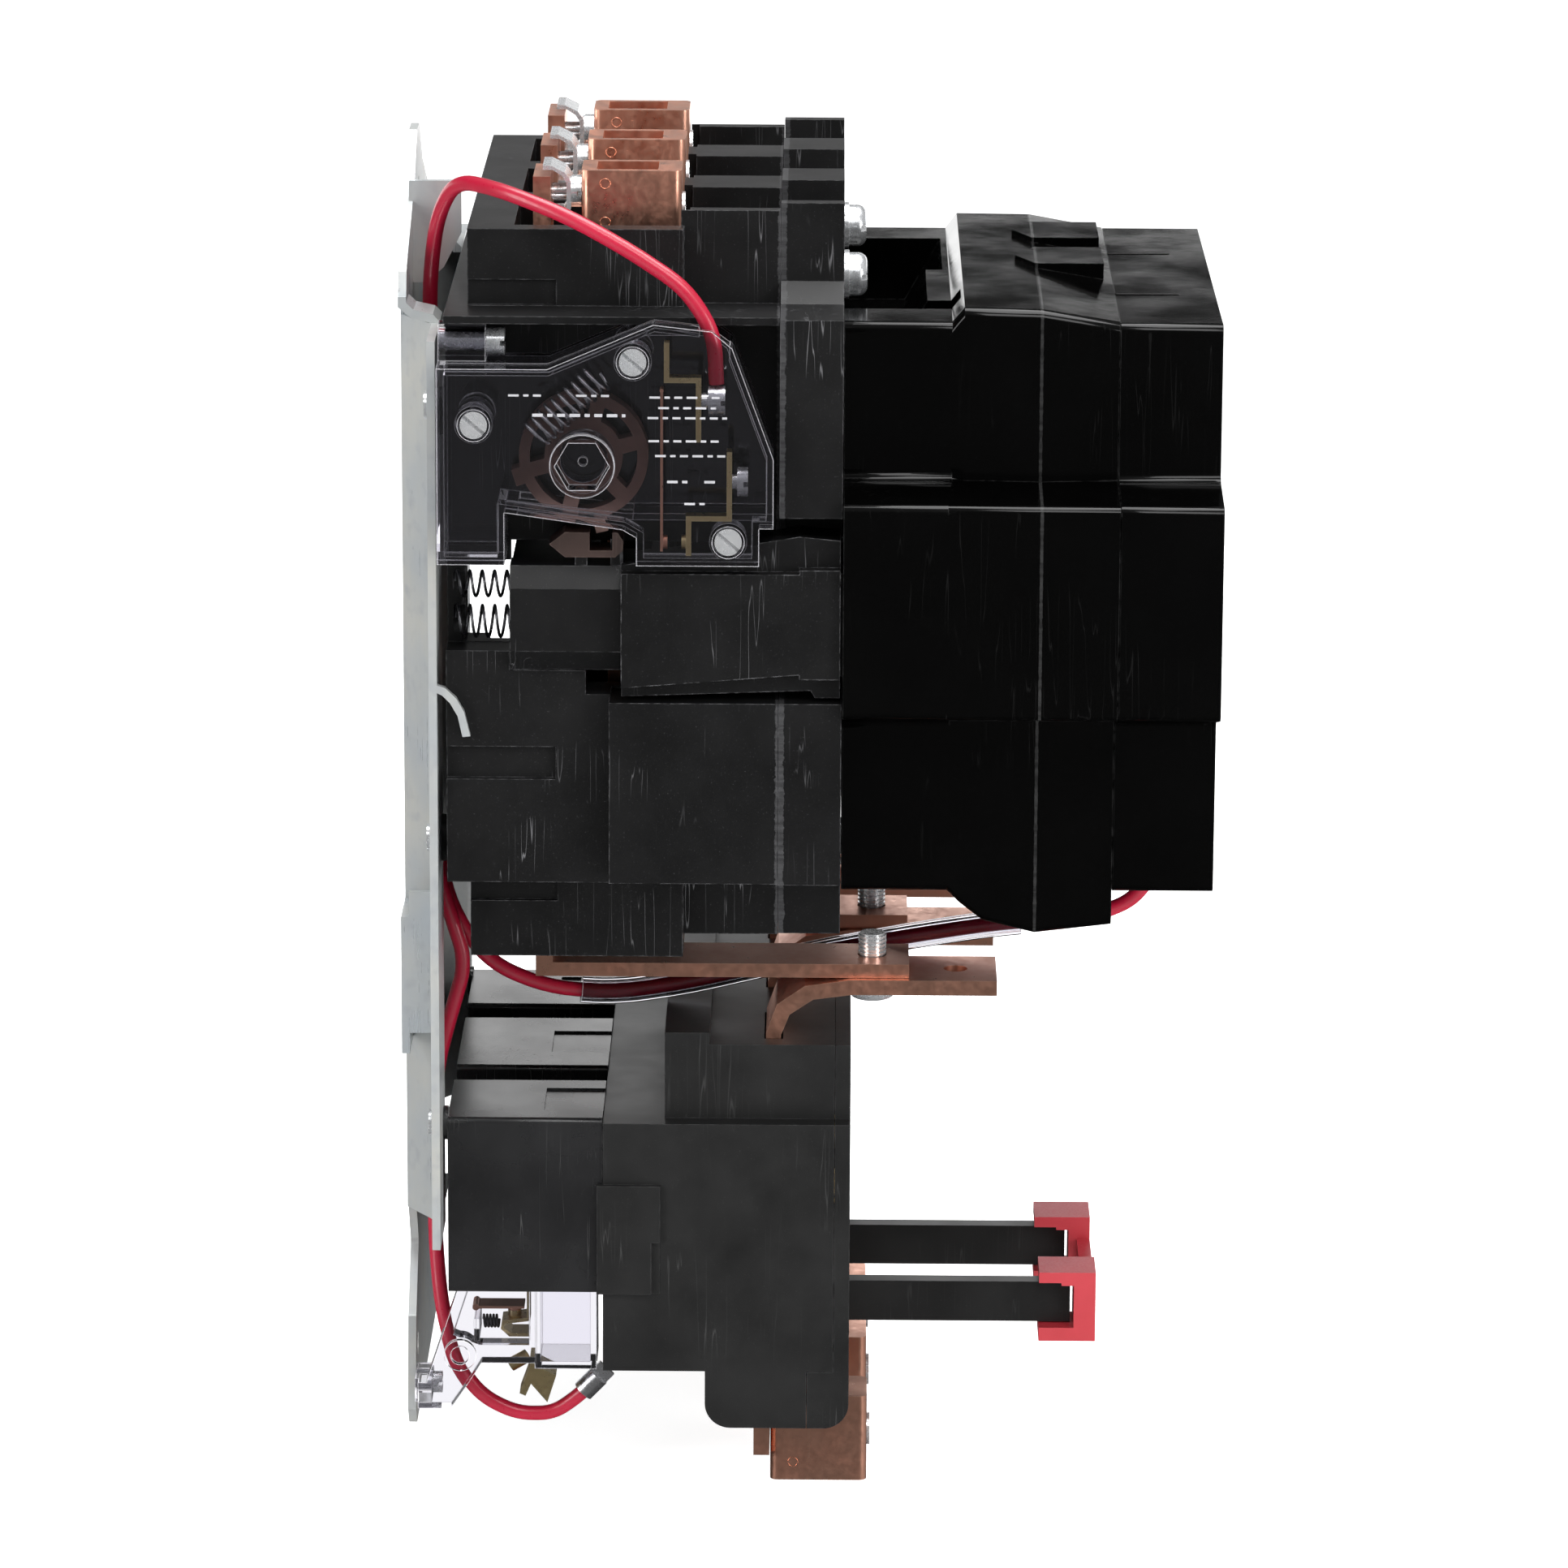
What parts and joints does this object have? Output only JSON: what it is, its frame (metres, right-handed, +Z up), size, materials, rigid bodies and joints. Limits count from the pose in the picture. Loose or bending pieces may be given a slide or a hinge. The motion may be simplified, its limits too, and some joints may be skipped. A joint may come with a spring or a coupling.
{
  "type": "magnetic motor starter",
  "caption": "Open wall-mounted magnetic motor starter: front-magnet contactor with clear side contact above a melting-alloy overload relay with a red-capped reset bar.",
  "frame": {"origin": "centre of the top mounting hole, in the wall plane at the back of the plate", "axes": "+Z up, +Y into the wall, +X across the poles to the right as seen from the front"},
  "size_m": [0.1734, 0.1885, 0.3167],
  "materials": {
    "zinc_plate": "zinc plated",
    "zinc_screws": "zinc plated, bright",
    "spring_steel": "blackened spring wire",
    "bright_spring": "bright spring wire",
    "black_phenolic": "satin moulded phenolic",
    "black_gloss": "glossy moulded phenolic",
    "relay_block_black": "semi-gloss moulded phenolic",
    "relay_black": "fine satin",
    "silicon_steel": "laminated",
    "coil_tape": "varnished winding",
    "bobbin_nylon": "natural nylon",
    "copper": "bare copper",
    "brass": "bare brass",
    "clear_plastic": "clear polycarbonate",
    "brown_phenolic": "satin",
    "red_cap": "satin",
    "red_wire": "PVC insulation",
    "tinned": "tinned"
  },
  "bodies": {
    "starter_frame": {"mounting_plate": "zinc_plate", "latch_clip": "zinc_plate", "plate_screws": "zinc_screws", "cover_screws": "zinc_screws", "clamp_screws": "zinc_screws", "strap_bolts": "zinc_screws", "terminal_clamps": "zinc_screws", "aux_screws": "zinc_screws", "aux_terminal_screws": "zinc_screws", "thermal_screws": "zinc_screws", "lug_screws": "zinc_screws", "control_case_screw": "zinc_screws", "return_springs": "spring_steel", "relay_springs": "spring_steel", "aux_spring": "bright_spring", "contactor_base": "black_phenolic", "contact_block_cover": "black_phenolic", "magnet_housing": "black_gloss", "front_cap": "black_gloss", "relay_blocks": "relay_block_black", "relay_base": "relay_black", "relay_cover": "relay_black", "magnet_core": "silicon_steel", "coil_winding": "coil_tape", "coil_bobbin": "bobbin_nylon", "line_straps": "copper", "load_straps": "copper", "line_lugs": "copper", "load_lugs": "copper", "relay_straps": "copper", "relay_load_straps": "copper", "shading_rings": "copper", "aux_upper_contact": "brass", "aux_lower_contact": "brass", "coil_terminals": "brass", "control_contacts": "brass", "thermal_units": "brass", "aux_case": "clear_plastic", "aux_cover": "clear_plastic", "control_contact_case": "clear_plastic", "wire_sleeve": "clear_plastic", "seal_in_wire": "red_wire", "relay_wire": "red_wire", "wire_ferrule": "tinned"},
    "contact_carrier": {"contact_carrier": "black_phenolic", "drive_shoe": "brown_phenolic", "armature": "silicon_steel", "moving_contact_left": "copper", "moving_contact_centre": "copper", "moving_contact_right": "copper", "contact_springs": "spring_steel"},
    "aux_rotor": {"aux_rotor": "brown_phenolic"},
    "aux_leaf": {"aux_leaf": "copper"},
    "ratchet_left": {"ratchet_wheel_left": "brass"},
    "ratchet_centre": {"ratchet_wheel_centre": "brass"},
    "ratchet_right": {"ratchet_wheel_right": "brass"},
    "trip_slide": {"trip_bar": "relay_black"},
    "control_blade": {"control_leaf": "copper"},
    "reset_button": {"reset_bars": "relay_black", "reset_cap": "red_cap"}
  },
  "joints": [
    {"name": "carrier_pull_in", "type": "slide", "parent": "starter_frame", "child": "contact_carrier", "axis": [0, 1, 0], "range_m": [0, 0.008], "stiffness_N_per_m": 1200, "springref_m": -0.012},
    {"name": "aux_rotor_turn", "type": "hinge", "parent": "starter_frame", "child": "aux_rotor", "pos_m": [-0.0731, -0.0432, -0.0485], "axis": [1, 0, 0], "range_deg": [0, 27.5]},
    {"name": "aux_leaf_flex", "type": "hinge", "parent": "starter_frame", "child": "aux_leaf", "pos_m": [-0.0825, -0.0611, -0.0316], "axis": [1, 0, 0], "range_deg": [-5, 0]},
    {"name": "trip_release", "type": "slide", "parent": "starter_frame", "child": "trip_slide", "axis": [0, -1, 0], "range_m": [0, 0.004]},
    {"name": "control_blade_open", "type": "hinge", "parent": "starter_frame", "child": "control_blade", "pos_m": [-0.0495, -0.0165, -0.2591], "axis": [1, 0, 0], "range_deg": [-8, 0]},
    {"name": "reset_press", "type": "slide", "parent": "starter_frame", "child": "reset_button", "axis": [0, 1, 0], "range_m": [0, 0.006], "stiffness_N_per_m": 400, "springref_m": -0.004},
    {"name": "ratchet_turn_left", "type": "hinge", "parent": "starter_frame", "child": "ratchet_left", "pos_m": [-0.04445, -0.1022, -0.231], "axis": [0, 1, 0], "range_deg": [-90, 90]},
    {"name": "ratchet_turn_centre", "type": "hinge", "parent": "starter_frame", "child": "ratchet_centre", "pos_m": [0, -0.1022, -0.231], "axis": [0, 1, 0], "range_deg": [-90, 90]},
    {"name": "ratchet_turn_right", "type": "hinge", "parent": "starter_frame", "child": "ratchet_right", "pos_m": [0.04445, -0.1022, -0.231], "axis": [0, 1, 0], "range_deg": [-90, 90]}
  ],
  "couplings": [
    {"joint": "aux_rotor_turn", "follows": "carrier_pull_in", "rad_per_m": 58.9},
    {"joint": "aux_leaf_flex", "follows": "carrier_pull_in", "rad_per_m": -10.6},
    {"joint": "control_blade_open", "follows": "trip_release", "rad_per_m": -30}
  ]
}
